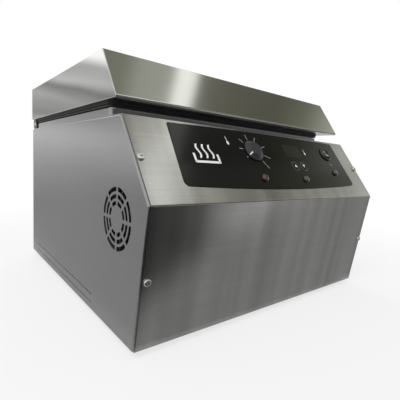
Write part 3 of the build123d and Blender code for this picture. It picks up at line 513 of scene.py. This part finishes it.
def wave(x, low, high, width, swing, steps=18):
    """One rising wavy line, bent from a subdivided bar."""
    deselect()
    bpy.ops.mesh.primitive_plane_add(size=1)
    piece = bpy.context.object
    bpy.ops.object.mode_set(mode="EDIT")
    bpy.ops.mesh.select_all(action="DESELECT")
    bpy.ops.object.mode_set(mode="OBJECT")
    for edge in piece.data.edges:
        first, last = (piece.data.vertices[index].co for index in edge.vertices)
        edge.select = abs(first.x - last.x) < 1e-6
    bpy.ops.object.mode_set(mode="EDIT")
    bpy.ops.mesh.subdivide(number_cuts=steps)
    bpy.ops.object.mode_set(mode="OBJECT")
    for vertex in piece.data.vertices:
        rise = vertex.co.y + 0.5
        sway = swing * math.sin(rise * 2 * math.pi)
        vertex.co = Vector((x + vertex.co.x * width + sway, low + rise * (high - low), 0)) * MM
    bpy.ops.object.mode_set(mode="EDIT")
    raise_ink()
    return piece


sign = [wave(offset, -4, 15, 2.6, 1.7) for offset in (-9, 0, 9)]
sign.append(bar((-17, -9), (17, -9), 3.0))
sign.append(bar((-17, -9), (-17, 2), 3.0))
sign.append(bar((17, -9), (17, 2), 3.0))
sign.append(blob((-17, -9), 1.5))
sign.append(blob((17, -9), 1.5))
bath_sign = join(sign, "bath_sign")
settle(bath_sign, slope_matrix(knob_centre - across * 83 * MM - slope_up * 12 * MM))
dress(bath_sign, white_ink, "cabinet")

# %% [markdown]
# ## Key arrows and switch marks
# The arrows ride on their keys and the line and circle ride on the rocker, so that they move when pressed.
# A power sign stands where the switch's caption would be.

# %% Key and switch marks
def key_arrow(name, key, height):
    """White arrow on top of a key cap."""
    low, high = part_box(key)
    cap = middle_of(key)
    top = max((Vector(vertex.co) - knob_centre).dot(slope_out) for vertex in frame["nodes"][key].data.vertices)
    piece = join([triangle((0, 0), 5.0, height)], name)
    settle(piece, slope_matrix(cap, lift=top - overlay_thickness))
    dress(piece, white_ink, "key_up" if key == "up_key" else "key_down")
    print(key, "top", round(top / MM, 2), "mm above the sheet, box", low, high)


key_arrow("up_arrow", "up_key", 4.6)
key_arrow("down_arrow", "down_key", -4.6)
rocker_centre = Vector(joints["rocker_tilt"]["pos_m"])
line_mark = join([bar((0, -1.6), (0, 1.6), 0.9)], "rocker_line")
settle(line_mark, slope_matrix(rocker_centre + slope_up * 4.7 * MM, lift=1.37 * MM))
dress(line_mark, white_ink, "rocker")
ring_mark = join([hoop((0, 0), 1.9, 1.2)], "rocker_ring")
settle(ring_mark, slope_matrix(rocker_centre - slope_up * 3.4 * MM, lift=2.51 * MM) @ Matrix.Rotation(math.radians(-16), 4, "X"))
dress(ring_mark, white_ink, "rocker")
power_sign = join([hoop((0, 0), 2.3, 1.7, start=120, sweep=300), bar((0, 0.6), (0, 3.0), 0.65)], "power_sign")
settle(power_sign, slope_matrix(rocker_centre - slope_up * 19.5 * MM))
dress(power_sign, dim_ink, "cabinet")

# %% [markdown]
# ## The stage
# A pale floor and a white surround that reflections see as well. Polished steel shows whatever stands round
# it, so, as a photographer would, cards of different greys stand where the steel looks: one overhead to the right
# for the lid and the control slope, one on the floor for the lower front, and one behind on the left for the side.
# The cards here glow, are seen only in reflections and add no light to the bath. Their soft grey bands are
# painted reflections on the steel: the brightest bands are painted highlights, the darkest painted shade.

# %% Floor and surround
def plain_quad(name, corners):
    """A four-cornered sheet through given points, made from a plane."""
    deselect()
    bpy.ops.mesh.primitive_plane_add(size=1)
    piece = bpy.context.object
    piece.name = name
    for vertex, corner in zip(piece.data.vertices, corners):
        vertex.co = corner
    return piece


def coordinates(finish):
    """The object's own x, y and z as numbers."""
    place = finish.node("ShaderNodeTexCoord").outputs["Object"]
    parts = finish.node("ShaderNodeSeparateXYZ", None, {"Vector": place})
    return [Number(finish, output) for output in parts.outputs]


def fade(finish, number, start, end):
    """0 up to start, 1 from end on, smooth between."""
    settings = {"interpolation_type": "SMOOTHSTEP"}
    values = {"Value": number, "From Min": start, "From Max": end}
    return Number(finish, finish.node("ShaderNodeMapRange", settings, values).outputs["Result"])


floor_reach = 30
floor = plain_quad("floor", [(x, y, 0) for y in (-floor_reach, floor_reach) for x in (-floor_reach, floor_reach)])
floor_finish = Finish("pale_floor", (0.80, 0.80, 0.80), roughness=0.9)
floor_finish.set("Specular IOR Level", 0.0)
distance = floor_finish.node("ShaderNodeVectorMath", {"operation": "LENGTH"}, {
    0: floor_finish.node("ShaderNodeTexCoord").outputs["Object"],
})
outwards = fade(floor_finish, Number(floor_finish, distance.outputs["Value"]), 0.35, 0.95)
to_camera = Number(floor_finish, floor_finish.node("ShaderNodeLightPath").outputs["Is Camera Ray"])
white = floor_finish.node("ShaderNodeEmission", None, {"Color": (1, 1, 1, 1), "Strength": 1.0})
floor_mix = floor_finish.node("ShaderNodeMixShader", None, {
    0: to_camera * (0.74 + outwards * 0.26), 1: floor_finish.shader.outputs[0], 2: white.outputs[0],
})
floor_finish.put(floor_finish.tree.nodes["Material Output"].inputs["Surface"], floor_mix.outputs[0])
floor.data.materials.append(floor_finish.material)

world = bpy.data.worlds.new("white_surround")
bpy.context.scene.world = world
world.use_nodes = True
nodes, links = world.node_tree.nodes, world.node_tree.links
surround = nodes["Background"]
surround.inputs["Color"].default_value = (1, 1, 1, 1)
paths = nodes.new("ShaderNodeLightPath")
seen = nodes.new("ShaderNodeMath")
seen.operation = "MAXIMUM"
links.new(paths.outputs["Is Camera Ray"], seen.inputs[0])
links.new(paths.outputs["Is Glossy Ray"], seen.inputs[1])
also = nodes.new("ShaderNodeMath")
also.operation = "MAXIMUM"
links.new(seen.outputs[0], also.inputs[0])
links.new(paths.outputs["Is Transmission Ray"], also.inputs[1])
level = nodes.new("ShaderNodeMapRange")
level.inputs["To Min"].default_value = 0.60
level.inputs["To Max"].default_value = 1.0
links.new(also.outputs[0], level.inputs["Value"])
links.new(level.outputs[0], surround.inputs["Strength"])

# %% Reflection cards
CARD_STRENGTH = 2.0
WARM, PLAIN = (1.0, 1.0, 0.74), (1.0, 1.0, 0.97)


def grey(level_wanted, warm=True):
    """Card colour for a wanted brightness of painted reflection. The darker greys are slightly olive on a warm card."""
    share = min(1.0, level_wanted)
    tone = [dark * (1 - share) + light * share for dark, light in zip(WARM, PLAIN)] if warm else (1, 1, 1)
    return tuple(channel * level_wanted / CARD_STRENGTH for channel in tone)


def card(name, corners, measure, start, end, stops, warm=True, streaks=(0, 0, 0), depth=0.0, near=None):
    """A glowing card seen only in reflections, whose bands of painted reflection follow a measure worked out from its
    coordinates.
    """
    piece = plain_quad(name, corners)
    piece.visible_camera = piece.visible_diffuse = piece.visible_shadow = False
    piece.visible_transmission = piece.visible_volume_scatter = False
    finish = Finish(name, (0, 0, 0))
    number = measure(*coordinates(finish))
    if depth:
        number = number + (finish.noise(streaks, detail=2.0) - 0.5) * depth
    share = (number - start) * (1 / (end - start))
    ramp_stops = [((place - start) / (end - start), grey(value, warm)) for place, value in stops]
    ramp = finish.node("ShaderNodeValToRGB", {"stops": ramp_stops}, {"Fac": share})
    tone = ramp.outputs["Color"]
    if near:
        close = fade(finish, near(*coordinates(finish)), 0.0, 1.0)
        mix = finish.node("ShaderNodeMix", {"data_type": "RGBA"}, {0: close, 6: tone, 7: (*grey(0.40, False), 1)})
        tone = mix.outputs[2]
    glow = finish.node("ShaderNodeEmission", None, {"Color": tone, "Strength": CARD_STRENGTH})
    finish.put(finish.tree.nodes["Material Output"].inputs["Surface"], glow.outputs[0])
    piece.data.materials.append(finish.material)
    return piece


def quad(x_low, x_high, y_low, y_high, z):
    """Corners of a level card."""
    return [(x, y, z) for y in (y_low, y_high) for x in (x_low, x_high)]


# Overhead cards for the lid and the control slope: painted reflections, whose brightest bands are painted highlights.
overhead_stops = [
    (0.00, 0.30), (0.36, 0.36), (0.44, 0.62), (0.62, 0.62), (0.67, 1.95), (0.77, 1.85), (0.80, 0.25),
    (1.07, 0.20), (1.50, 0.16), (1.85, 0.24), (2.15, 0.50), (2.60, 0.90), (3.30, 0.90),
]
card("overhead_card", quad(0.0, 3.3, -1.6, 0.7, 1.5), lambda x, y, z: x, 0.0, 3.3,
     overhead_stops, streaks=(1, 6, 1), depth=0.03)
low_stops = [(0.00, 0.70), (0.40, 1.30), (0.60, 1.75), (0.78, 1.70), (0.92, 0.45), (1.60, 0.30), (2.30, 0.42), (3.30, 0.80)]
card("slope_card", quad(0.0, 3.3, -1.6, -0.62, 1.48), lambda x, y, z: x, 0.0, 3.3, low_stops,
     streaks=(1, 6, 1), depth=0.03)
# Floor card for the lower front sheet: painted reflections with streaks, its darkest end painted shade; near the bath
# it turns an even grey.
front_stops = [
    (-0.60, 0.03), (0.04, 0.06), (0.10, 0.10), (0.15, 0.45), (0.20, 1.05), (0.32, 0.95), (0.44, 0.60),
    (0.70, 0.45), (1.60, 0.42),
]
card("front_card", quad(-0.55, 1.5, -1.1, nose_y + 0.01, 0.002), lambda x, y, z: x + (y + 0.5) * 1.06,
     -0.60, 1.60, front_stops, warm=False, streaks=(16, 4, 1), depth=0.16,
     near=lambda x, y, z: (y + x * 0.5 + 0.41) * 12)
# Card behind on the left for the left side: painted reflections, its brightest bands painted highlights.
rear_stops = [
    (0.00, 0.50), (0.22, 0.85), (0.38, 1.35), (0.46, 0.38), (0.56, 0.66), (0.66, 0.30), (0.74, 0.95),
    (0.82, 0.60), (0.90, 1.90), (1.60, 1.50),
]
card("rear_card", [(x, 2.0, z) for z in (0.0, 1.6) for x in (-2.2, -0.3)], lambda x, y, z: z,
     0.0, 1.6, rear_stops, warm=False, streaks=(2.5, 1, 6), depth=0.22)

# Floor card on the left: a painted grey reflection in the lower side panel.
side_stops = [(-0.3, 0.52), (1.0, 0.46), (2.2, 0.60)]
card("side_card", quad(-2.6, -0.23, -0.30, 2.0, 0.003), lambda x, y, z: y, -0.3, 2.2, side_stops,
     warm=False, streaks=(3, 2, 1), depth=0.3)
# Dark card at the front right, seen only in reflections: painted shade on the rim collar under the lid's overhang and
# on the lower right.
collar_shade_stops = [(0.15, 0.10), (0.50, 0.14), (0.90, 0.30)]
card("collar_shade_card", [(x, -1.2, z) for z in (0.15, 0.9) for x in (-0.2, 2.2)], lambda x, y, z: z,
     0.15, 0.9, collar_shade_stops, warm=False)

# %% Lamps
def lamp(name, place, target, size, power):
    """Soft square lamp aimed at a point."""
    bpy.ops.object.light_add(type="AREA", location=place)
    made = bpy.context.object
    made.name = name
    made.data.shape = "RECTANGLE"
    made.data.size, made.data.size_y = size
    made.data.energy = power
    aim = Vector(target) - Vector(place)
    made.rotation_euler = aim.to_track_quat("-Z", "Y").to_euler()
    made.visible_glossy = False
    return made


bath_middle = (0, 0, 0.15)
lamp("key_lamp", (-1.2, -0.8, 1.9), bath_middle, (1.0, 1.0), 20)
lamp("back_lamp", (0.5, 1.8, 1.6), bath_middle, (1.2, 0.8), 14)
print("stage ready")
